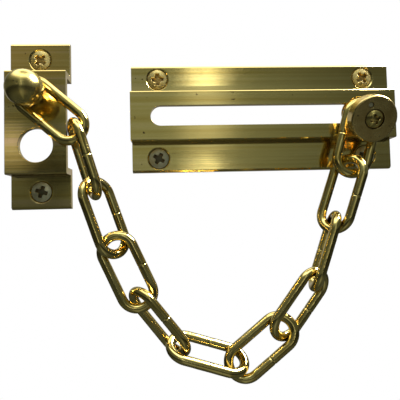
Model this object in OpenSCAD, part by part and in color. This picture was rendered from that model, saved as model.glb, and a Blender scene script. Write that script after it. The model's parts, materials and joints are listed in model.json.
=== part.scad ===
// Door chain guard: a slotted track plate, a keep plate with an anchor knob, and a chain
// whose last link hangs on a button-headed slider. Mounted, +X runs along the slot, +Z is
// up and the fronts face -Y. Both plates stand on the plane y = 0. The origin is the centre
// of the track plate's screw pattern on that plane.

/* [Track plate] */
// Length of the track plate along the slot
track_l = 100; // [98:1:104]
// Height of the track plate over both flanges
track_h = 41; // [41:0.5:44]
// Height of its raised band
track_band = 18.5; // [18:0.5:19]
// How far the raised band stands out from the wall
track_stand = 8; // [8:0.1:8.2]
// Width of the slot
slot_w = 7.6; // [7.4:0.1:8]
// Diameter of the slider's entry hole at the right end of the slot
entry_d = 12.4; // [12:0.2:13]
// Metal left between each end of the slot and the end of the plate
end_margin = 7.4; // [7:0.2:7.8]
// Screw spacing along the track plate
track_screw_x = 80; // [78:1:82]
// Screw spacing across the track plate
track_screw_z = 30.5; // [30:0.5:31]

/* [Keep plate] */
// Width of the keep plate
keep_w = 22; // [21:0.5:22]
// Height of the keep plate over both flanges
keep_h = 63; // [62:1:66]
// Height of its raised band
keep_band = 38; // [37:0.5:38.5]
// How far its raised band stands out from the wall
keep_stand = 9; // [8.6:0.1:9]
// Centre of the keep plate, left of the origin
keep_left = 84; // [84:0.5:84.5]
// Centre of the keep plate, below the origin
keep_drop = 2; // [2:0.5:2.5]
// Screw spacing along the keep plate
keep_screw_z = 50; // [50:0.5:51]
// Centre of the parking hole below the plate's centre
park_drop = 8.5; // [8.5:0.5:9]

/* [Sheet and screws] */
// Thickness of both plates
sheet_t = 2.5; // [2.5:0.1:2.6]
// Width of the bevel along the outer edges of the flanges
flange_bevel = 0.8; // [0.4:0.1:1]
// Width of the bevel along the edges of the raised bands
band_bevel = 0.4; // [0.2:0.1:0.6]
// Diameter of the countersinks at the face
sink_d = 8.7; // [8.6:0.1:9]
// Diameter of the screw holes
screw_hole_d = 4.4; // [4.2:0.1:4.6]
// Diameter of the screw heads
screw_head_d = 7.5; // [7.2:0.1:7.6]
// Diameter of the screw shanks
screw_shank_d = 3.8; // [3.6:0.1:4]
// Length of the screw shanks behind the plates
screw_reach = 18; // [12:1:25]

/* [Anchor knob] */
// Height of the knob above the keep plate's centre
knob_rise = 9; // [9:0.5:9.5]
// Diameter of the ball
ball_d = 12.6; // [12:0.2:13]
// Distance of the ball's centre from the wall
ball_stand = 20; // [20:0.2:21]
// Diameter of the neck behind the ball
knob_neck_d = 6; // [5.8:0.1:6]

/* [Chain] */
// Diameter of the wire
wire_d = 3.5; // [3.3:0.1:3.5]
// Outside length of a link
link_l = 30.8; // [30.7:0.1:30.9]
// Outside width of a link
link_w = 15; // [14.9:0.1:15.1]

/* [Slider] */
// Diameter of the button
button_d = 16.5; // [15:0.5:16.5]
// Thickness of the button
button_t = 5; // [4:0.5:6]
// Diameter of the neck that runs in the slot
neck_d = 5; // [4.6:0.1:5]
// Diameter of the flange behind the slot
flange_d = 10.5; // [10:0.1:10.6]
// Angle by which the slider droops in the slot
droop = 22; // [20:1:22]

/* [Hidden] */
$fn = 96;
fit = 0.02;       // gap between pieces that seat on each other
overrun = 1;      // how far a cutter passes the face it cuts

// Slot
slot_end_x = -(track_l / 2 - end_margin - slot_w / 2);
entry_x = track_l / 2 - end_margin - entry_d / 2;

// Keep plate
keep_x = -keep_left;
keep_z = -keep_drop;
knob_z = keep_z + knob_rise;
spigot_d = 4;
peen_d = 6;
peen_t = 1.2;
washer_d = 9;
washer_t = 1;

// Screws
recess_l = 4.2;
recess_w = 0.9;
recess_depth = 1.2;
tip_l = 4;
dome_radius = 12;
dome_base = 0.3;

// Slider, measured along its own axis from the middle of the slot's wall
pivot_stand = track_stand - sheet_t / 2;
button_stand = 14.9;
flange_back = -4.6;
flange_t = 0.8;
button_back = (button_stand - pivot_stand) / cos(droop);
button_front = button_back + button_t;
button_bevel = 0.5;
button_bore_d = 3.2;
counterbore_d = 7;
counterbore_t = 0.8;
cap_head_d = 6.4;
cap_recess_l = 3.9;
cap_head_t = 1.4;
cap_shank_d = 3;
cap_shank_l = 8;
pin_d = 2;
pin_l = 2.4;
pin_sunk = 0.6;
pin_radius = 5.2;
pin_angle = 110;

// Links: each lies on its heading, and is rolled about it by its own angle. The slack of a
// joint is how much farther than a tight pair its two links reach into each other.
link_bar = link_l - link_w;
link_end_r = (link_w - wire_d) / 2;
half_inside = link_l / 2 - wire_d;
seam_w = 0.2;
hang_gap = 0.3;
left_stand = 11.5;
right_stand = 10;
LINKS = 11;
gap_link = 6;
HEADINGS = [-41, -73, -71, -65.5, -52, 0, 38.5, 53, 71, 70.5, 73.5];
ROLLS = [0, 68, -47, -2, 56, -60, -11, 32, 82, -50, 0];
SLACKS = [0, 2, 1.8, 2.8, 2.7, 1.9, 0.7, 3.1, 2.2, 1.8, 2.1, 0];
SEAM_SIDES = [-1, 1, 1, 1, 1, 1, -1, -1, -1, -1, 1];
// Link 7 hangs on link 6 by the corner of its loop
corner_link = 7;
corner_along = 1.9;
corner_across = 1.3;

// ---- Where the links lie: points are [x, z] in the plane of the wall ----
knob_point = [keep_x, knob_z];
neck_point = [entry_x, -(right_stand - pivot_stand) * tan(droop)];
function along(angle) = [cos(angle), sin(angle)];
function across(angle) = [-sin(angle), cos(angle)];
// Distance from a link's centre to its joint on the knob's side
function near_reach(n) =
    n == 1 ? half_inside - knob_neck_d / 2 - hang_gap
    : half_inside - SLACKS[n - 1] / 2 - (n == corner_link ? corner_along : 0);
// Distance from a link's centre to its joint on the slider's side
function far_reach(n) =
    n == LINKS ? half_inside - neck_d / 2 / cos(droop) - hang_gap
    : half_inside - SLACKS[n] / 2;
function side_step(n) = n == corner_link ? corner_across : 0;
// Joint between link n and link n + 1, counted out from the knob
function left_joint(n) =
    n == 0 ? knob_point
    : left_joint(n - 1) + (near_reach(n) + far_reach(n)) * along(HEADINGS[n - 1]);
// Joint between link n and link n - 1, counted out from the slider
function right_joint(n) =
    n > LINKS ? neck_point
    : right_joint(n + 1) - (near_reach(n) + far_reach(n)) * along(HEADINGS[n - 1])
      + side_step(n) * across(HEADINGS[n - 1]);
// The gap link spans from the left run to the right run
gap_span = right_joint(gap_link + 1) - left_joint(gap_link - 1);
gap_heading = atan2(gap_span[1], gap_span[0]);
function heading(n) = n == gap_link ? gap_heading : HEADINGS[n - 1];
function centre(n) =
    n < gap_link ? left_joint(n) - far_reach(n) * along(heading(n))
    : right_joint(n + 1) - far_reach(n) * along(heading(n));
// Distance of a link's middle plane from the wall
function stand(n) = left_stand + (right_stand - left_stand) * (n - 1) / (LINKS - 1);

// ---- Shared shapes: +Z is out of the wall until facing() turns it to -Y ----
module facing() {
    rotate([90, 0, 0]) children();
}

// Half of a plate's hat profile from the middle of the band, as [out of the wall, up]
function half_hat(height, band, depth) = [
    [depth, 0],
    [depth, band / 2 - band_bevel],
    [depth - band_bevel, band / 2],
    [sheet_t, band / 2],
    [sheet_t, height / 2 - flange_bevel],
    [sheet_t - flange_bevel, height / 2],
    [0, height / 2],
    [0, band / 2 - sheet_t],
    [depth - sheet_t, band / 2 - sheet_t],
    [depth - sheet_t, 0]
];

module half_plate(length, height, band, depth) {
    translate([-length / 2, 0, 0])
        rotate([90, 0, 90])
            linear_extrude(length)
                polygon([for (p = half_hat(height, band, depth)) [-p[0], p[1]]]);
}

module plate(length, height, band, depth) {
    half_plate(length, height, band, depth);
    mirror([0, 0, 1]) half_plate(length, height, band, depth);
}

module screw_hole() {
    facing() {
        translate([0, 0, -overrun]) cylinder(d = screw_hole_d, h = sheet_t + 2 * overrun);
        translate([0, 0, sheet_t - (sink_d - screw_hole_d) / 2])
            cylinder(d1 = screw_hole_d, d2 = sink_d + 2 * overrun,
                     h = (sink_d - screw_hole_d) / 2 + overrun);
    }
}

module round_hole(d, depth) {
    facing() translate([0, 0, depth - sheet_t - overrun]) cylinder(d = d, h = sheet_t + 2 * overrun);
}

module cross_recess(length, top) {
    for (turn = [0, 90])
        rotate([0, 0, turn])
            translate([-length / 2, -recess_w / 2, top - recess_depth])
                cube([length, recess_w, recess_depth + overrun]);
}

// A shallow dome of the given base diameter, standing on z = 0
module dome(d) {
    sink = sqrt(dome_radius * dome_radius - d * d / 4);
    intersection() {
        translate([0, 0, -sink]) sphere(r = dome_radius);
        cylinder(d = d, h = dome_radius);
    }
}

module wood_screw() {
    head_z = sheet_t - (sink_d - screw_head_d) / 2 + fit;
    cone_h = (screw_head_d - screw_shank_d) / 2;
    facing()
        difference() {
            union() {
                translate([0, 0, head_z - cone_h])
                    cylinder(d1 = screw_shank_d, d2 = screw_head_d, h = cone_h);
                translate([0, 0, head_z]) cylinder(d = screw_head_d, h = dome_base);
                translate([0, 0, head_z + dome_base]) dome(screw_head_d);
                translate([0, 0, -(screw_reach - tip_l)])
                    cylinder(d = screw_shank_d, h = screw_reach - tip_l + head_z - cone_h);
                translate([0, 0, -screw_reach])
                    cylinder(d1 = fit, d2 = screw_shank_d, h = tip_l);
            }
            cross_recess(recess_l, head_z + dome_base);
        }
}

// ---- Track plate and its screws ----
module track_plate() {
    color("goldenrod")
        difference() {
            plate(track_l, track_h, track_band, track_stand);
            translate([slot_end_x, 0, 0]) round_hole(slot_w, track_stand);
            translate([slot_end_x, -(track_stand + overrun), -slot_w / 2])
                cube([entry_x - slot_end_x, sheet_t + 2 * overrun, slot_w]);
            translate([entry_x, 0, 0]) round_hole(entry_d, track_stand);
            for (x = [-1, 1], z = [-1, 1])
                translate([x * track_screw_x / 2, 0, z * track_screw_z / 2]) screw_hole();
        }
}

// Screws 1 and 2 are the upper pair, 3 and 4 the lower pair
module track_screw(side, level, tint) {
    color(tint)
        translate([side * track_screw_x / 2, 0, level * track_screw_z / 2]) wood_screw();
}

// ---- Keep plate, its screws and the anchor knob ----
module keep_plate() {
    color("goldenrod")
        translate([keep_x, 0, keep_z])
            difference() {
                plate(keep_w, keep_h, keep_band, keep_stand);
                translate([0, 0, knob_rise]) round_hole(spigot_d + 2 * fit, keep_stand);
                translate([0, 0, -park_drop]) round_hole(entry_d, keep_stand);
                for (z = [-1, 1]) translate([0, 0, z * keep_screw_z / 2]) screw_hole();
            }
}

module keep_screw(level, tint) {
    color(tint) translate([keep_x, 0, keep_z + level * keep_screw_z / 2]) wood_screw();
}

// Ball, neck and a spigot that is riveted over behind the washer
module anchor_knob() {
    back = keep_stand - sheet_t - washer_t - 2 * fit;
    color("gold")
        translate([keep_x, 0, knob_z])
            facing() {
                translate([0, 0, ball_stand]) sphere(d = ball_d);
                translate([0, 0, keep_stand + fit])
                    cylinder(d = knob_neck_d, h = ball_stand - keep_stand - fit);
                translate([0, 0, back - fit]) cylinder(d = spigot_d, h = keep_stand + 2 * fit - back);
                translate([0, 0, back - peen_t - fit]) cylinder(d1 = spigot_d, d2 = peen_d, h = peen_t);
            }
}

module knob_washer() {
    color("darkgoldenrod")
        translate([keep_x, 0, knob_z])
            facing()
                translate([0, 0, keep_stand - sheet_t - washer_t - fit])
                    difference() {
                        cylinder(d = washer_d, h = washer_t);
                        translate([0, 0, -overrun])
                            cylinder(d = spigot_d + 2 * fit, h = washer_t + 2 * overrun);
                    }
}

// ---- Slider, drooping about the middle of the slot's wall ----
module on_slider() {
    translate([entry_x, -pivot_stand, 0]) rotate([90 + droop, 0, 0]) children();
}

module slider_stud() {
    color("gold")
        on_slider()
            difference() {
                union() {
                    translate([0, 0, flange_back]) cylinder(d = flange_d, h = flange_t);
                    translate([0, 0, flange_back]) cylinder(d = neck_d, h = button_back - fit - flange_back);
                }
                translate([0, 0, button_front - counterbore_t - cap_shank_l - fit])
                    cylinder(d = cap_shank_d + 2 * fit, h = cap_shank_l);
            }
}

module slider_button() {
    color("gold")
        on_slider()
            difference() {
                translate([0, 0, button_back])
                    rotate_extrude()
                        polygon([[0, 0], [button_d / 2 - button_bevel, 0], [button_d / 2, button_bevel],
                                 [button_d / 2, button_t - button_bevel],
                                 [button_d / 2 - button_bevel, button_t], [0, button_t]]);
                translate([0, 0, button_back - overrun])
                    cylinder(d = button_bore_d, h = button_t + 2 * overrun);
                translate([0, 0, button_front - counterbore_t])
                    cylinder(d = counterbore_d, h = counterbore_t + overrun);
                rotate([0, 0, pin_angle])
                    translate([pin_radius, 0, button_front - pin_sunk - pin_l - fit])
                        cylinder(d = pin_d + 2 * fit, h = pin_l + pin_sunk + overrun);
            }
}

module button_screw() {
    seat = button_front - counterbore_t + fit;
    color("khaki")
        on_slider()
            difference() {
                union() {
                    translate([0, 0, seat]) cylinder(d = cap_head_d, h = cap_head_t);
                    translate([0, 0, seat + cap_head_t]) dome(cap_head_d);
                    translate([0, 0, seat - cap_shank_l + 2 * fit]) cylinder(d = cap_shank_d, h = cap_shank_l);
                }
                cross_recess(cap_recess_l, seat + cap_head_t);
            }
}

module button_pin() {
    color("khaki")
        on_slider()
            rotate([0, 0, pin_angle])
                translate([pin_radius, 0, button_front - pin_sunk - pin_l]) cylinder(d = pin_d, h = pin_l);
}

// ---- Chain ----
// An oval of round wire in the XZ plane, its ends butted in the middle of one bar
module oval(seam_side) {
    facing() {
        for (turn = [0, 180])
            rotate([0, 0, turn])
                translate([link_bar / 2, 0, 0])
                    rotate([0, 0, -90])
                        rotate_extrude(angle = 180) translate([link_end_r, 0]) circle(d = wire_d);
        translate([-link_bar / 2, -seam_side * link_end_r, 0])
            rotate([0, 90, 0]) cylinder(d = wire_d, h = link_bar);
        for (half = [-1, 1])
            translate([half > 0 ? seam_w / 2 : -link_bar / 2, seam_side * link_end_r, 0])
                rotate([0, 90, 0]) cylinder(d = wire_d, h = link_bar / 2 - seam_w / 2);
    }
}

module chain_link(n) {
    at = centre(n);
    color("goldenrod")
        translate([at[0], -stand(n), at[1]])
            rotate([0, -heading(n), 0])
                rotate([ROLLS[n - 1], 0, 0])
                    oval(SEAM_SIDES[n - 1]);
}

track_plate();
track_screw(-1, 1, "gold");  // track_screw_1
track_screw(1, 1, "gold");  // track_screw_2
track_screw(-1, -1, "darkkhaki");  // track_screw_3
track_screw(1, -1, "darkkhaki");  // track_screw_4
keep_plate();
keep_screw(1, "gold");  // keep_screw_1
keep_screw(-1, "darkkhaki");  // keep_screw_2
anchor_knob();
knob_washer();
slider_stud();
slider_button();
button_screw();
button_pin();
chain_link(1);  // link_01
chain_link(2);  // link_02
chain_link(3);  // link_03
chain_link(4);  // link_04
chain_link(5);  // link_05
chain_link(6);  // link_06
chain_link(7);  // link_07
chain_link(8);  // link_08
chain_link(9);  // link_09
chain_link(10);  // link_10
chain_link(11);  // link_11
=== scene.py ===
"""Door chain guard in polished brass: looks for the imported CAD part. Metres, +Z up, fronts face -Y."""
import json
import math
import random

import bmesh
import bpy
import numpy as np
from mathutils import Matrix, Vector


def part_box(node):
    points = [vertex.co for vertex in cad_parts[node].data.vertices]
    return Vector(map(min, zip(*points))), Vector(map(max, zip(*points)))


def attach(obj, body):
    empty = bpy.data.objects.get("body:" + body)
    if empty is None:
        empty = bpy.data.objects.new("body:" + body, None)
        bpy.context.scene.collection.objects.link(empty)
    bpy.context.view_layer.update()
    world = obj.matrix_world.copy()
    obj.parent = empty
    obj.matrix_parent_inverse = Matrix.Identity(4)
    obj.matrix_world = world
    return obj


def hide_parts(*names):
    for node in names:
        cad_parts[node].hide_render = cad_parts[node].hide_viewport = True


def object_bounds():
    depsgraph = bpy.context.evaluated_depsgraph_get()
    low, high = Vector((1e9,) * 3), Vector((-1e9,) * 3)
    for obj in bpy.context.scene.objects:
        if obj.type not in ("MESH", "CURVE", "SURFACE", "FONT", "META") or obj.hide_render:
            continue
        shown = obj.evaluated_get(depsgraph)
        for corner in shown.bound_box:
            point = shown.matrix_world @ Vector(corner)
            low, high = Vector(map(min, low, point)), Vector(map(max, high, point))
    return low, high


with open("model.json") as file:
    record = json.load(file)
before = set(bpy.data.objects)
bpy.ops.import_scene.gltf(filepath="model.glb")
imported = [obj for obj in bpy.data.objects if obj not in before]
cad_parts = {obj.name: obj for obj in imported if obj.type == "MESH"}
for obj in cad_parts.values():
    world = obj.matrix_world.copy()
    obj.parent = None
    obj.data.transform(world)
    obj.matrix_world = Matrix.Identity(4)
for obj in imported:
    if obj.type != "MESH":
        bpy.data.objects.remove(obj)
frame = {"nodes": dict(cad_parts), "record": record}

MM = 0.001
NODES = frame["nodes"]
BODIES = frame["record"]["behaviour"]["bodies"]
BODY_OF = {node: body for body, members in BODIES.items() for node in members}
SLOT_OF = {part["node"]: part["material_slot"] for part in frame["record"]["subparts"]}
CAD_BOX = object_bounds()


# ---- Node trees ----
class Tree:
    """Makes and joins the nodes of one material or world."""

    def __init__(self, owner):
        owner.use_nodes = True
        self.tree = owner.node_tree
        self.tree.nodes.clear()

    def node(self, kind, inputs=None, **settings):
        """A new node. Each input is given a value, or the output that it is joined to."""
        made = self.tree.nodes.new("ShaderNode" + kind)
        for key, value in settings.items():
            setattr(made, key, value)
        for key, value in (inputs or {}).items():
            if isinstance(value, bpy.types.NodeSocket):
                self.tree.links.new(value, made.inputs[key])
            else:
                made.inputs[key].default_value = value
        return made

    def ramp(self, factor, stops):
        """Stops are pairs of a place and a colour, or of a place and a level of grey."""
        made = self.node("ValToRGB", {"Fac": factor})
        elements = made.color_ramp.elements
        while len(elements) < len(stops):
            elements.new(0.5)
        for element, (place, colour) in zip(elements, stops):
            element.position = place
            element.color = (*colour, 1) if isinstance(colour, tuple) else (colour, colour, colour, 1)
        return made.outputs["Color"]

    def change(self, factor, span, first, last):
        """Goes from first to last as the factor crosses the span."""
        return self.ramp(factor, [(span[0], first), (span[1], last)])

    def ranged(self, value, start, end, first=0.0, last=1.0, interpolation="LINEAR"):
        """A number that goes from first to last as the value goes from start to end."""
        inputs = {"Value": value, "From Min": start, "From Max": end, "To Min": first, "To Max": last}
        return self.node("MapRange", inputs, interpolation_type=interpolation).outputs[0]

    def covered(self, factor, tone, colour):
        """The tone, covered by the colour as far as the factor says."""
        inputs = {"Factor": factor, 6: tone, 7: (*colour, 1)}
        return self.node("Mix", inputs, data_type="RGBA").outputs[2]

    def parts(self, vector):
        outputs = self.node("SeparateXYZ", {"Vector": vector}).outputs
        return outputs["X"], outputs["Y"], outputs["Z"]

    def noise(self, vector, scale, detail, rough):
        inputs = {"Vector": vector, "Scale": scale, "Detail": detail, "Roughness": rough}
        return self.node("TexNoise", inputs).outputs["Fac"]

    def stretched(self, vector, factors):
        return self.node("Mapping", {"Vector": vector, "Scale": factors}).outputs["Vector"]

    def math(self, operation, first, second=0.5):
        return self.node("Math", {0: first, 1: second}, operation=operation).outputs[0]

    def scaled(self, colour, amount):
        return self.node("VectorMath", {0: colour, "Scale": amount}, operation="SCALE").outputs[0]

    def added(self, first, second):
        return self.node("VectorMath", {0: first, 1: second}, operation="ADD").outputs[0]

    def bump(self, height, distance, strength=1.0, normal=None):
        inputs = {"Height": height, "Distance": distance, "Strength": strength}
        if normal is not None:
            inputs["Normal"] = normal
        return self.node("Bump", inputs).outputs["Normal"]


# ---- Colours ----
BRASS = (0.88, 0.70, 0.27)
BRASS_DEEP = (0.74, 0.54, 0.16)
BRASS_TAN = (0.95, 0.66, 0.40)
BRASS_WORN = (0.96, 0.84, 0.50)
BUTTON = (0.86, 0.66, 0.28)
BUTTON_DEEP = (0.70, 0.50, 0.18)
GILT = (0.97, 0.80, 0.36)
GILT_DEEP = (0.85, 0.60, 0.18)
GILT_SHADE = (0.55, 0.30, 0.07)
DULL = (1.0, 0.95, 0.70)
DULL_DEEP = (0.80, 0.70, 0.44)
# Tarnish for small specks, and also the colour of the painted shade in hollows
TARNISH_AND_SHADE = (0.22, 0.14, 0.05)
# Colour of the painted shade in screw recesses
RECESS_SHADE_COLOUR = (0.10, 0.075, 0.035)

# ---- What all materials share. A span is where a noise or a share starts and ends a change ----
TONE_SPAN = (0.3, 0.7)
ROUGH_SPAN = (0.3, 0.75)
SPECK_EDGE = 0.02
SHADER_SAMPLES = 4
WEAR_SPAN = (0.8, 0.99)
# Painted shade: ambient occlusion darkens the tone in hollows and where parts meet
OCCLUSION_SHADE_SPAN = (0.35, 0.8)
OCCLUSION_SHADE_SHARE = 0.95
OCCLUSION_SHADE_REACH = 1.2 * MM


def new_material(name, metallic=1.0):
    material = bpy.data.materials.new(name)
    tree = Tree(material)
    shader = tree.node("BsdfPrincipled", {"Metallic": metallic})
    tree.node("OutputMaterial", {"Surface": shader.outputs["BSDF"]})
    return material, tree, shader, tree.node("TexCoord").outputs["Object"]


def finish(tree, shader, tone, rough, normal, wear_width):
    """Joins tone, roughness and relief to the shader. Handling keeps the edges bright, and painted shade,
    which also stands for tarnish, darkens the tone where little of the room can be seen: hollows, recesses
    and where parts meet."""
    bevel = tree.node("Bevel", {"Radius": wear_width, "Normal": normal}, samples=SHADER_SAMPLES)
    rounded = bevel.outputs["Normal"]
    turned = tree.node("VectorMath", {0: rounded, 1: normal}, operation="DOT_PRODUCT").outputs["Value"]
    worn = tree.covered(tree.change(turned, WEAR_SPAN, 1.0, 0.0), tone, BRASS_WORN)
    # Painted shade, also standing for tarnish: darker where little of the room can be seen
    occlusion = tree.node("AmbientOcclusion", {"Distance": OCCLUSION_SHADE_REACH}, samples=SHADER_SAMPLES)
    occlusion_shade = tree.change(occlusion.outputs["AO"], OCCLUSION_SHADE_SPAN, OCCLUSION_SHADE_SHARE, 0.0)
    links = tree.tree.links
    links.new(tree.covered(occlusion_shade, worn, TARNISH_AND_SHADE), shader.inputs["Base Color"])
    links.new(rough, shader.inputs["Roughness"])
    links.new(normal, shader.inputs["Normal"])


def specks(tree, place, tone, scale, share):
    """Small dark spots of tarnish; the share is the noise value below which a spot shows."""
    grain = tree.noise(place, scale, detail=2, rough=0.5)
    spot = tree.change(grain, (share, share + SPECK_EDGE), 1.0, 0.0)
    return tree.covered(spot, tone, TARNISH_AND_SHADE)


# ---- Plates: noise stretched along X makes the lines, bands and waves of a drawn section ----
LINES = (9, 900, 2600)
BANDS = (5, 260, 420)
WAVES = (14, 60, 60)
BAND_TONE_SPAN = (0.34, 0.6)
STREAK_SPAN = (0.5, 0.58)
AGED_FROM = -35 * MM
AGED_TO = -66 * MM
AGED_SHARE = 0.55
TRACK_HALF_BAND = 12.5 * MM
TRACK_LEAN = 0.035
KEEP_HALF_BAND = 100 * MM
KEEP_GRAIN = 0.55


def plate_brass(name, half_band, lean, grain):
    """Extruded and buffed section: fine lines run along X, tan towards -X, where the lacquer has aged.
    The buffing wheel leaves the flanges beyond the half band leaning back by the given slope."""
    material, tree, shader, place = new_material(name)
    lines = tree.noise(tree.stretched(place, LINES), 1.0, detail=6, rough=0.7)
    bands = tree.noise(tree.stretched(place, BANDS), 1.0, detail=4, rough=0.55)
    waves = tree.noise(tree.stretched(place, WAVES), 1.0, detail=2, rough=0.5)
    smudges = tree.noise(place, 70, detail=4, rough=0.6)
    tone = tree.change(bands, BAND_TONE_SPAN, BRASS_DEEP, BRASS)
    along, _, upward = tree.parts(place)
    near_end = tree.ranged(along, AGED_FROM, AGED_TO)
    streak = tree.change(bands, STREAK_SPAN, 0.0, 1.0)
    aged = tree.math("MULTIPLY", tree.math("MULTIPLY", near_end, streak), AGED_SHARE)
    tone = specks(tree, place, tree.covered(aged, tone, BRASS_TAN), scale=420, share=0.255)
    rough = tree.change(smudges, ROUGH_SPAN, 0.08, 0.15)
    beyond = tree.math("SUBTRACT", half_band, tree.math("ABSOLUTE", upward))
    normal = tree.bump(tree.math("MINIMUM", beyond, 0.0), distance=lean)
    normal = tree.bump(lines, distance=0.012 * MM, strength=0.5 * grain, normal=normal)
    normal = tree.bump(bands, distance=0.05 * MM, strength=0.6 * grain, normal=normal)
    normal = tree.bump(waves, distance=0.2 * MM, strength=0.35, normal=normal)
    finish(tree, shader, tone, rough, normal, wear_width=0.25 * MM)
    return material


# ---- Chain, turned pieces and small parts ----
WIRE_TONE_SPAN = (0.3, 0.62)
SMALL_SMUDGES = 500
# Painted shade in screw recesses: how far below the head's top it reaches, and the shares of that reach where
# it starts, is full and ends
RECESS_SHADE_REACH = 5 * MM
RECESS_SHADE_START = 0.02
RECESS_SHADE_FULL = (0.09, 0.6)
RECESS_SHADE_END = 0.8


def wire_brass():
    """Drawn and bent wire: bright, with smudges and small tool marks."""
    material, tree, shader, place = new_material("chain_brass")
    marks = tree.noise(place, 420, detail=3, rough=0.5)
    smudges = tree.noise(place, 150, detail=3, rough=0.6)
    tone = tree.change(smudges, WIRE_TONE_SPAN, BRASS_DEEP, BRASS)
    tone = specks(tree, place, tone, scale=900, share=0.26)
    rough = tree.change(smudges, ROUGH_SPAN, 0.06, 0.15)
    normal = tree.bump(marks, distance=0.12 * MM, strength=0.35)
    finish(tree, shader, tone, rough, normal, wear_width=0.1 * MM)
    return material


def plain_brass(name, light, deep, rough_range, relief, metallic, recess_shade=None):
    """Screws and the pin. The recess shade, a share and a colour, is painted shade: it darkens the tone
    below the head's top, along local -Z, so the cross recess comes out dark.
    """
    material, tree, shader, place = new_material(name, metallic)
    smudges = tree.noise(place, SMALL_SMUDGES, detail=4, rough=0.6)
    tone = tree.change(smudges, TONE_SPAN, deep, light)
    tone = specks(tree, place, tone, scale=700, share=0.27)
    if recess_shade:
        share, colour = recess_shade
        # Painted shade: darker below the head's top, in the cross recess
        depth = tree.ranged(tree.parts(place)[2], 0.0, -RECESS_SHADE_REACH)
        full_from, full_to = RECESS_SHADE_FULL
        stops = [(RECESS_SHADE_START, 0.0), (full_from, share), (full_to, share), (RECESS_SHADE_END, 0.0)]
        tone = tree.covered(tree.ramp(depth, stops), tone, colour)
    rough = tree.change(smudges, ROUGH_SPAN, *rough_range)
    grain = tree.noise(place, 1500, detail=3, rough=0.6)
    normal = tree.bump(grain, distance=0.03 * MM, strength=relief)
    finish(tree, shader, tone, rough, normal, wear_width=0.2 * MM)
    return material


def turned_brass(name, light, deep, rough_range):
    """Lathe work: rings run round the piece's own Z axis."""
    material, tree, shader, place = new_material(name)
    across, back, along = tree.parts(place)
    flat = tree.node("CombineXYZ", {"X": across, "Y": back}).outputs[0]
    radius = tree.node("VectorMath", {0: flat}, operation="LENGTH").outputs["Value"]
    ring = tree.node("CombineXYZ", {"X": radius, "Z": along}).outputs[0]
    rings = tree.noise(ring, 2600, detail=4, rough=0.6)
    wide_rings = tree.noise(ring, 700, detail=2, rough=0.5)
    smudges = tree.noise(place, 260, detail=4, rough=0.6)
    tone = tree.change(smudges, TONE_SPAN, deep, light)
    tone = specks(tree, place, tone, scale=800, share=0.27)
    rough = tree.change(smudges, ROUGH_SPAN, *rough_range)
    normal = tree.bump(rings, distance=0.03 * MM, strength=0.6)
    normal = tree.bump(wide_rings, distance=0.06 * MM, strength=0.35, normal=normal)
    finish(tree, shader, tone, rough, normal, wear_width=0.3 * MM)
    return material


MATERIALS = {
    "plate_brass": plate_brass("plate_brass", TRACK_HALF_BAND, TRACK_LEAN, grain=1.0),
    "chain_brass": wire_brass(),
    "knob_brass": turned_brass("knob_brass", BRASS, BRASS_DEEP, (0.16, 0.26)),
    "button_brass": turned_brass("button_brass", BUTTON, BUTTON_DEEP, (0.2, 0.3)),
    # Each dirt pair is the share and colour of painted shade in the screw's recess
    "screw_gilt": plain_brass("screw_gilt", GILT, GILT_DEEP, (0.2, 0.34), relief=1.0, metallic=0.75,
                              recess_shade=(0.7, GILT_SHADE)),
    "button_cap": plain_brass("button_cap", BRASS, BRASS_DEEP, (0.1, 0.2), relief=0.5, metallic=1.0,
                              recess_shade=(0.9, RECESS_SHADE_COLOUR)),
    "pin": plain_brass("pin", DULL, DULL, (0.25, 0.4), relief=0.4, metallic=0.5),
    "screw_plain": plain_brass("screw_plain", DULL, DULL_DEEP, (0.3, 0.45), relief=0.7, metallic=0.75,
                               recess_shade=(0.92, RECESS_SHADE_COLOUR)),
}


# ---- Pieces ----
WELD = 0.0005 * MM
FINE_WELD = 0.0002 * MM
FLAT = math.radians(0.3)
SHARP = math.radians(25)
EDGE_SEGMENTS = 2
NORMAL_WEIGHT = 100


def settle(piece, node, material=None):
    """The piece stands for a CAD node: it takes the node's body, place and slot."""
    piece.data.materials.clear()
    piece.data.materials.append(material or MATERIALS[SLOT_OF[node]])
    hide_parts(node)
    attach(piece, BODY_OF[node])


def placed(name, data, place=Matrix.Identity(4)):
    """A new object in the scene, at the given place."""
    thing = bpy.data.objects.new(name, data)
    bpy.context.scene.collection.objects.link(thing)
    thing.matrix_world = place
    return thing


def middle(node):
    low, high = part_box(node)
    return (Vector(low) + Vector(high)) / 2


def to_mesh(form, name):
    mesh = bpy.data.meshes.new(name)
    form.to_mesh(mesh)
    form.free()
    return mesh


def refined(node, edge_width, place=Matrix.Identity(4), material=None):
    """The node's own surface, welded, with its edges broken. Its textures follow the given place."""
    form = bmesh.new()
    form.from_mesh(NODES[node].data)
    bmesh.ops.remove_doubles(form, verts=form.verts, dist=WELD)
    bmesh.ops.dissolve_limit(form, angle_limit=FLAT, verts=form.verts, edges=form.edges)
    form.transform(place.inverted())
    mesh = to_mesh(form, node + "_finish")
    mesh.shade_smooth()
    piece = placed(node + "_finish", mesh, place)
    bevel = piece.modifiers.new("edges", "BEVEL")
    bevel.width = edge_width
    bevel.segments = EDGE_SEGMENTS
    bevel.limit_method = "ANGLE"
    bevel.angle_limit = SHARP
    bevel.use_clamp_overlap = True
    bevel.miter_outer = "MITER_ARC"
    normals = piece.modifiers.new("normals", "WEIGHTED_NORMAL")
    normals.weight = NORMAL_WEIGHT
    normals.keep_sharp = True
    settle(piece, node, material)


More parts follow.
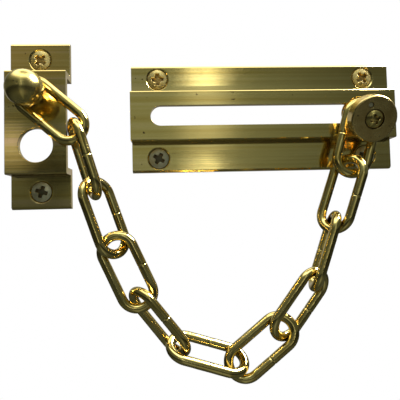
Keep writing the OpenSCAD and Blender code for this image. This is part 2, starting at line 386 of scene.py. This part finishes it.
def surface(rings, name, wrap=False):
    """A smooth mesh of quads between neighbouring closed rings of equal length. With wrap, the last
    ring is joined to the first. A ring of one repeated point is welded to that point."""
    form = bmesh.new()
    grid = [[form.verts.new(point) for point in ring] for ring in rings]
    count = len(rings[0])
    for index in range(len(grid) - (0 if wrap else 1)):
        here = grid[index]
        ahead = grid[(index + 1) % len(grid)]
        for step in range(count):
            following = (step + 1) % count
            form.faces.new((here[step], here[following], ahead[following], ahead[step]))
    bmesh.ops.remove_doubles(form, verts=form.verts, dist=FINE_WELD)
    bmesh.ops.dissolve_degenerate(form, edges=form.edges, dist=FINE_WELD)
    bmesh.ops.recalc_face_normals(form, faces=form.faces)
    mesh = to_mesh(form, name)
    mesh.shade_smooth()
    return mesh


# ---- Chain links: round wire bent to a long ring, its ends butted in the middle of one bar ----
AROUND = 44
BEND_STEPS = 40
BAR_STEPS = 28
SEAM_STEPS = (0, 0.12, 0.2, 0.3, 0.5, 0.9)    # mm from the seam: close together, to draw its groove
EVEN_FROM = 1.5                               # mm from the seam: from here the steps are even
SEAM_DEPTH = 0.11 * MM
SEAM_REACH = 0.22 * MM
DENT = 0.045 * MM
DENT_WAVES = ((3, 1), (7, 2), (13, 3))        # waves along the ring, and round the wire


def link_frame(node):
    """Place and overall sizes of a link, from its CAD surface. The only points near its middle are
    those of the CAD's seam, so they tell which bar the seam is on."""
    points = np.array([vertex.co[:] for vertex in NODES[node].data.vertices])
    axes = np.linalg.svd(points - points.mean(0), full_matrices=False)[2]
    local = points @ axes.T
    low, high = local.min(0), local.max(0)
    centre = (low + high) / 2
    near_middle = local[np.abs(local[:, 0] - centre[0]) < MM]
    side = 1.0 if len(near_middle) == 0 or near_middle[:, 1].mean() >= centre[1] else -1.0
    along, across = Vector(axes[0]), Vector(axes[1]) * side
    facing = along.cross(across)
    place = Matrix((along, across, facing)).transposed().to_4x4()
    place.translation = Vector(centre @ axes)
    return place, high - low


def bent(half, bend, side):
    """Steps of a route round the end of the ring on the given side, 1 or -1."""
    steps = []
    for step in range(BEND_STEPS):
        turn = math.pi * step / BEND_STEPS
        out_x, out_y = side * math.sin(turn), side * math.cos(turn)
        steps.append((side * half + bend * out_x, bend * out_y, out_x, out_y, half))
    return steps


def route(length, width, wire):
    """Steps round the ring: place, outward direction and distance from the seam."""
    bend = (width - wire) / 2
    half = (length - width) / 2
    even = [EVEN_FROM + (half / MM - EVEN_FROM) * step / BAR_STEPS * 2 for step in range(BAR_STEPS // 2)]
    walk = [value * MM for value in [*SEAM_STEPS, *even]]
    steps = [(x, bend, 0.0, 1.0, x) for x in walk]
    steps += bent(half, bend, 1)
    steps += [(half - 2 * half * step / BAR_STEPS, -bend, 0.0, -1.0, half) for step in range(BAR_STEPS)]
    steps += bent(half, bend, -1)
    steps += [(-x, bend, 0.0, 1.0, x) for x in reversed(walk[1:] + [half])]
    return steps


def wire_link(node, seed):
    """One link. The wire is a little uneven, in waves whose phases are drawn for each link."""
    place, (length, width, wire) = link_frame(node)
    spin = random.Random(seed)
    phases = [(spin.uniform(0, math.tau), spin.uniform(0, math.tau)) for wave in DENT_WAVES]
    rings = []
    steps = route(length, width, wire)
    for index, (x, y, out_x, out_y, from_seam) in enumerate(steps):
        part = math.tau * index / len(steps)
        groove = SEAM_DEPTH * math.exp(-(from_seam / SEAM_REACH) ** 2)
        ring = []
        for spoke in range(AROUND):
            turn = math.tau * spoke / AROUND
            wave = sum(math.sin(along * part + first) * math.sin(around * turn + second)
                       for (along, around), (first, second) in zip(DENT_WAVES, phases))
            size = wire / 2 - groove - DENT * (0.5 + wave / (2 * len(DENT_WAVES)))
            out, up = size * math.cos(turn), size * math.sin(turn)
            ring.append((x + out_x * out, y + out_y * out, up))
        rings.append(ring)
    mesh = surface(rings, node + "_wire", wrap=True)
    mesh.transform(place)
    settle(placed(node + "_wire", mesh), node)


# ---- Screws: domed head with a cross recess, cone, threaded shank and point ----
# Sizes are in mm; slopes and shares have no unit
HEAD_D = 7.5
HEAD_EDGE = 0.3
DOME_R = 12
RECESS = (2.35, 0.72, 1.15)                   # half length, half width and depth of the cross
SHANK_D = 3.8
POINT_L = 4
PITCH = 1.6
THREAD_DEEP = 0.5
CREST_SHARE = 0.22                            # half of the thread's crest, in pitches
LEVELS_PER_TURN = 9
POINT_FADE = 1.4                              # the thread fades out over the last part of the point
HEAD_SPOKES = 96
HEAD_RINGS = 44
CROWN_SHARE = 0.985                           # of the head's radius, where the crown ends
CHAMFER = 0.06

RECESS_SLOPE = 0.22                           # of the walls: across for each mm down
ARM_TAPER = 0.1
HEART = 1.9                                   # the round middle of the cross, in its half widths
RIB_HALF_WIDTH = 0.2
RIB_LENGTH = 0.72
RIB_DEPTH = 0.25

CAP_D = 6.4
CAP_EDGE = 0.5
CAP_DOME_R = 4.6
CAP_RECESS = (1.9, 0.5, 1.0)
CAP_SHANK_R = 1.5
CAP_TURN = 0.3


def recess_depth(x, y, recess, turn, star):
    """Depth of a cross recess with sloping walls; star adds the small ribs between its arms."""
    half, wide, deep = recess
    u = x * math.cos(turn) + y * math.sin(turn)
    v = y * math.cos(turn) - x * math.sin(turn)
    depth = 0.0
    for along, beside in ((u, v), (v, u)):
        room = min(wide - abs(beside) + ARM_TAPER * (half - abs(along)), half - abs(along))
        depth = max(depth, min(deep, room / RECESS_SLOPE))
    if star:
        p, q = (u + v) / math.sqrt(2), (u - v) / math.sqrt(2)
        for along, beside in ((p, q), (q, p)):
            room = min(RIB_HALF_WIDTH - abs(beside), RIB_LENGTH * half - abs(along))
            depth = max(depth, min(RIB_DEPTH * deep, room / RECESS_SLOPE))
    heart = (wide * HEART - math.hypot(u, v)) / RECESS_SLOPE
    return max(depth, min(deep, heart), 0.0)


def crown_height(dome, diameter):
    return dome - math.sqrt(dome * dome - diameter * diameter / 4)


def circle(radius, level):
    angles = [math.tau * spoke / HEAD_SPOKES for spoke in range(HEAD_SPOKES)]
    return [(radius * math.cos(angle), radius * math.sin(angle), level) for angle in angles]


def head_rings(diameter, edge, dome, recess, turn, star):
    """Rings of a screw head, from its middle outwards. Level 0 is where the crown starts to rise."""
    sink = math.sqrt(dome * dome - diameter * diameter / 4)
    rings = []
    for index in range(HEAD_RINGS + 1):
        radius = diameter / 2 * index / HEAD_RINGS * CROWN_SHARE
        crown = math.sqrt(dome * dome - radius * radius) - sink
        rings.append([(x, y, level - recess_depth(x, y, recess, turn, star))
                      for x, y, level in circle(radius, crown)])
    return rings + [circle(diameter / 2, -CHAMFER), circle(diameter / 2, -edge)]


def turned_piece(node, rings, place, material=None):
    """A screw from its rings, which are in mm."""
    rings = [[(x * MM, y * MM, z * MM) for x, y, z in ring] for ring in rings]
    settle(placed(node + "_turned", surface(rings, node + "_turned"), place), node, material)


def wood_screw(node, turn, star):
    low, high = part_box(node)
    top = crown_height(DOME_R, HEAD_D)
    centre = middle(node)
    place = Matrix.Translation((centre.x, low[1] + top * MM, centre.z)) @ Matrix.Rotation(math.pi / 2, 4, "X")
    reach = (high[1] - low[1]) / MM - top
    rings = head_rings(HEAD_D, HEAD_EDGE, DOME_R, RECESS, turn, star)
    cone_end = -HEAD_EDGE - (HEAD_D - SHANK_D) / 2
    count = int((reach + cone_end) / PITCH * LEVELS_PER_TURN)
    for index in range(count + 1):
        level = cone_end - (reach + cone_end) * index / count
        taper = min(1.0, (reach + level) / POINT_L)
        growth = min(1.0, (cone_end - level) / PITCH)
        ring = []
        for spoke in range(HEAD_SPOKES):
            part = spoke / HEAD_SPOKES
            wave = (part - level / PITCH) % 1.0
            crest = max(0.0, 1 - abs(wave - 0.5) / CREST_SHARE)
            groove = THREAD_DEEP * (1 - crest) * growth * min(1, taper * POINT_FADE)
            radius = max(SHANK_D / 2 * taper - groove, 0.0)
            ring.append((radius * math.cos(math.tau * part), radius * math.sin(math.tau * part), level))
        rings.append(ring)
    turned_piece(node, rings, place)


def cap_screw(node, place):
    """The short screw that holds the button: a rounder head and a plain shank."""
    inside = place.inverted()
    points = np.array([(inside @ vertex.co)[:] for vertex in NODES[node].data.vertices])
    low, high = points.min(0), points.max(0)
    top = crown_height(CAP_DOME_R, CAP_D)
    centre = Vector(((low[0] + high[0]) / 2, (low[1] + high[1]) / 2, high[2] - top * MM))
    end = (low[2] - centre.z) / MM
    rings = head_rings(CAP_D, CAP_EDGE, CAP_DOME_R, CAP_RECESS, CAP_TURN, star=True)
    rings += [circle(CAP_SHANK_R, -CAP_EDGE), circle(CAP_SHANK_R, end), circle(0.0, end)]
    turned_piece(node, rings, place @ Matrix.Translation(centre), MATERIALS["button_cap"])


# ---- All pieces: edge widths in mm, and turns in radians that set each screw apart from the next ----
EDGES = {"track_plate": 0.14, "keep_plate": 0.14, "anchor_knob": 0.1, "knob_washer": 0.15,
         "slider_stud": 0.1, "slider_button": 0.25, "button_pin": 0.3}
KNOB_NODES = ("anchor_knob", "knob_washer")
SLIDER_NODES = ("slider_stud", "slider_button")
GILT_TURN = 0.6
PLAIN_TURN = 0.25
DROOP = math.radians(22)
button_place = Matrix.Translation(middle("button_screw")) @ Matrix.Rotation(math.pi / 2 + DROOP, 4, "X")
knob_place = Matrix.Translation(middle("anchor_knob")) @ Matrix.Rotation(math.pi / 2, 4, "X")
for order, node in enumerate(NODES):
    if node.startswith("link"):
        wire_link(node, order)
    elif "_screw_" in node:
        gilt = SLOT_OF[node] == "screw_gilt"
        wood_screw(node, (GILT_TURN if gilt else PLAIN_TURN) * order, gilt)
    elif node == "button_screw":
        cap_screw(node, button_place)
    elif node == "button_pin":
        refined(node, EDGES[node] * MM, button_place, MATERIALS["pin"])
    elif node in SLIDER_NODES:
        refined(node, EDGES[node] * MM, button_place)
    elif node in KNOB_NODES:
        refined(node, EDGES[node] * MM, knob_place)
    elif node == "keep_plate":
        keep_brass = plate_brass("keep_brass", KEEP_HALF_BAND, 0.0, KEEP_GRAIN)
        refined(node, EDGES[node] * MM, material=keep_brass)
    else:
        refined(node, EDGES[node] * MM)


# ---- Camera: stands close, a little below and left of the middle, as the photographer did ----
CAMERA_AT = (-0.03304, -0.16581, -0.03884)
CAMERA_TARGET = (-0.02465, 0, -0.0312)
CAMERA_ROLL = math.radians(-1.41)


def aimed(place, target, roll=0.0):
    """Stands at the place and looks at the target."""
    back = (Vector(place) - Vector(target)).normalized()
    turn = back.to_track_quat("Z", "Y").to_matrix().to_4x4()
    return Matrix.Translation(Vector(place)) @ turn @ Matrix.Rotation(roll, 4, "Z")


lens = bpy.data.cameras.new("camera")
lens.lens = 38.8
lens.sensor_width = 36
lens.clip_start = 0.01
lens.clip_end = 20
bpy.context.scene.camera = placed("camera", lens, aimed(CAMERA_AT, CAMERA_TARGET, CAMERA_ROLL))


# ---- Light: a softbox above, and a room whose brightness changes softly with direction ----
MIDDLE = (CAD_BOX[0] + CAD_BOX[1]) / 2
SOFTBOX_OFFSET = Vector((0.5, 0.05, 0.62))
SOFTBOX_SIZE = (0.52, 0.42)
SOFTBOX_WATTS = 22
softbox = bpy.data.lights.new("overhead", "AREA")
softbox.shape = "ELLIPSE"
softbox.size, softbox.size_y = SOFTBOX_SIZE
softbox.energy = SOFTBOX_WATTS
overhead = placed("overhead", softbox, aimed(MIDDLE + SOFTBOX_OFFSET, MIDDLE))
overhead.visible_camera = False

# Directions in the room are degrees to the right of -Y and degrees up.
# The walls' level is across times lift: pairs of a place and a level, where 0 is -90 degrees and 1 is 90
ACROSS = [(0.0, 0.10), (0.2, 0.12), (0.38, 0.14), (0.415, 0.11), (0.45, 0.34), (0.53, 0.3),
          (0.585, 0.2), (0.64, 0.11), (0.74, 0.11), (1.0, 0.11)]
LIFT = [(0.0, 0.5), (0.28, 0.65), (0.42, 0.25), (0.49, 0.15), (0.515, 0.8), (0.6, 0.8),
        (0.64, 0.62), (0.70, 1.5), (0.8, 2.6), (0.92, 1.0), (1.0, 1.0)]
# A spot is degrees to the right, degrees up, half widths across and up, and a level. A glow has a colour too.
# The glow behind the object is there twice, because the direction jumps from 180 to -180 there
GLOWS = (
    (4.0, 22.5, 3.2, 3.8, 2.3, (1, 1, 0.95)),
    (3.6, 2.0, 3.0, 3.0, 1.7, (1, 1, 0.92)),
    (4.0, 13.5, 4.6, 9.0, 0.4, (1, 1, 0.95)),
    (-21.5, 9.5, 4.2, 3.2, 0.5, (1, 0.92, 0.85)),
    (-19.0, 20.5, 7.5, 4.0, 0.16, (1, 0.85, 0.6)),
    (10.0, -42.0, 45.0, 22.0, 0.04, (1, 0.8, 0.6)),
    (180.0, 12.0, 70.0, 35.0, 0.3, (1, 1, 1)),
    (-180.0, 12.0, 70.0, 35.0, 0.3, (1, 1, 1)),
)
# The shade takes this share of the walls' level away
SHADE = (-14.6, 6.6, 6.6, 3.6, 0.97)
ROOM_TINT = (0.87, 1.0, 0.85)
CEILING_TINT = (1.0, 1.0, 0.95)
CEILING_RISE = (42.0, 64.0, 0.0, 2.2)         # from and to these degrees up, between these levels
ZENITH_FALL = (70.0, 80.0, 1.0, 0.25)


def spot(tree, right, up, right_at, up_at, wide, high, level):
    """A soft-edged oval of the given level in the room's direction (right_at, up_at)."""
    first = tree.math("DIVIDE", tree.math("SUBTRACT", right, right_at), wide)
    second = tree.math("DIVIDE", tree.math("SUBTRACT", up, up_at), high)
    apart = tree.math("ADD", tree.math("MULTIPLY", first, first), tree.math("MULTIPLY", second, second))
    return tree.math("MULTIPLY", tree.ranged(apart, 1.0, 0.0, interpolation="SMOOTHSTEP"), level)


def studio():
    world = bpy.data.worlds.new("room")
    tree = Tree(world)
    x, y, z = tree.parts(tree.node("TexCoord").outputs["Generated"])
    right = tree.math("DEGREES", tree.math("ARCTAN2", x, tree.math("MULTIPLY", y, -1.0)))
    up = tree.math("DEGREES", tree.math("ARCSINE", z))
    across = tree.ramp(tree.ranged(right, -90.0, 90.0), ACROSS)
    lift = tree.ramp(tree.ranged(up, -90.0, 90.0), LIFT)
    shaded = tree.math("SUBTRACT", 1.0, spot(tree, right, up, *SHADE))
    level = tree.math("MULTIPLY", tree.math("MULTIPLY", across, lift), shaded)
    ceiling = tree.math("MULTIPLY", tree.ranged(up, *CEILING_RISE, interpolation="SMOOTHSTEP"),
                        tree.ranged(up, *ZENITH_FALL, interpolation="SMOOTHSTEP"))
    light = tree.added(tree.scaled(ROOM_TINT, level), tree.scaled(CEILING_TINT, ceiling))
    for *where, colour in GLOWS:
        light = tree.added(light, tree.scaled(colour, spot(tree, right, up, *where)))
    shade = tree.node("Background", {"Color": light, "Strength": 1.0})
    tree.node("OutputWorld", {"Surface": shade.outputs[0]})
    bpy.context.scene.world = world


studio()
bpy.context.scene.view_settings.view_transform = "Standard"


# ---- Stage: a plain white room and floor, which light nothing and cast no shadow ----
ROOM_R = 3
FLOOR_R = 2.4
FLOOR_DROP = 0.35


def staged(name, form):
    mesh = to_mesh(form, name)
    material = bpy.data.materials.new(name)
    tree = Tree(material)
    glow = tree.node("Emission", {"Color": (1, 1, 1, 1), "Strength": 1.0})
    tree.node("OutputMaterial", {"Surface": glow.outputs["Emission"]})
    mesh.materials.append(material)
    thing = placed(name, mesh)
    thing.visible_diffuse = thing.visible_glossy = thing.visible_shadow = False
    thing.visible_transmission = False


room = bmesh.new()
bmesh.ops.create_uvsphere(room, u_segments=48, v_segments=24, radius=ROOM_R)
staged("backdrop", room)
floor = bmesh.new()
floor_place = Matrix.Translation((0, 0, CAD_BOX[0][2] - FLOOR_DROP))
bmesh.ops.create_circle(floor, cap_ends=True, segments=64, radius=FLOOR_R, matrix=floor_place)
staged("floor", floor)
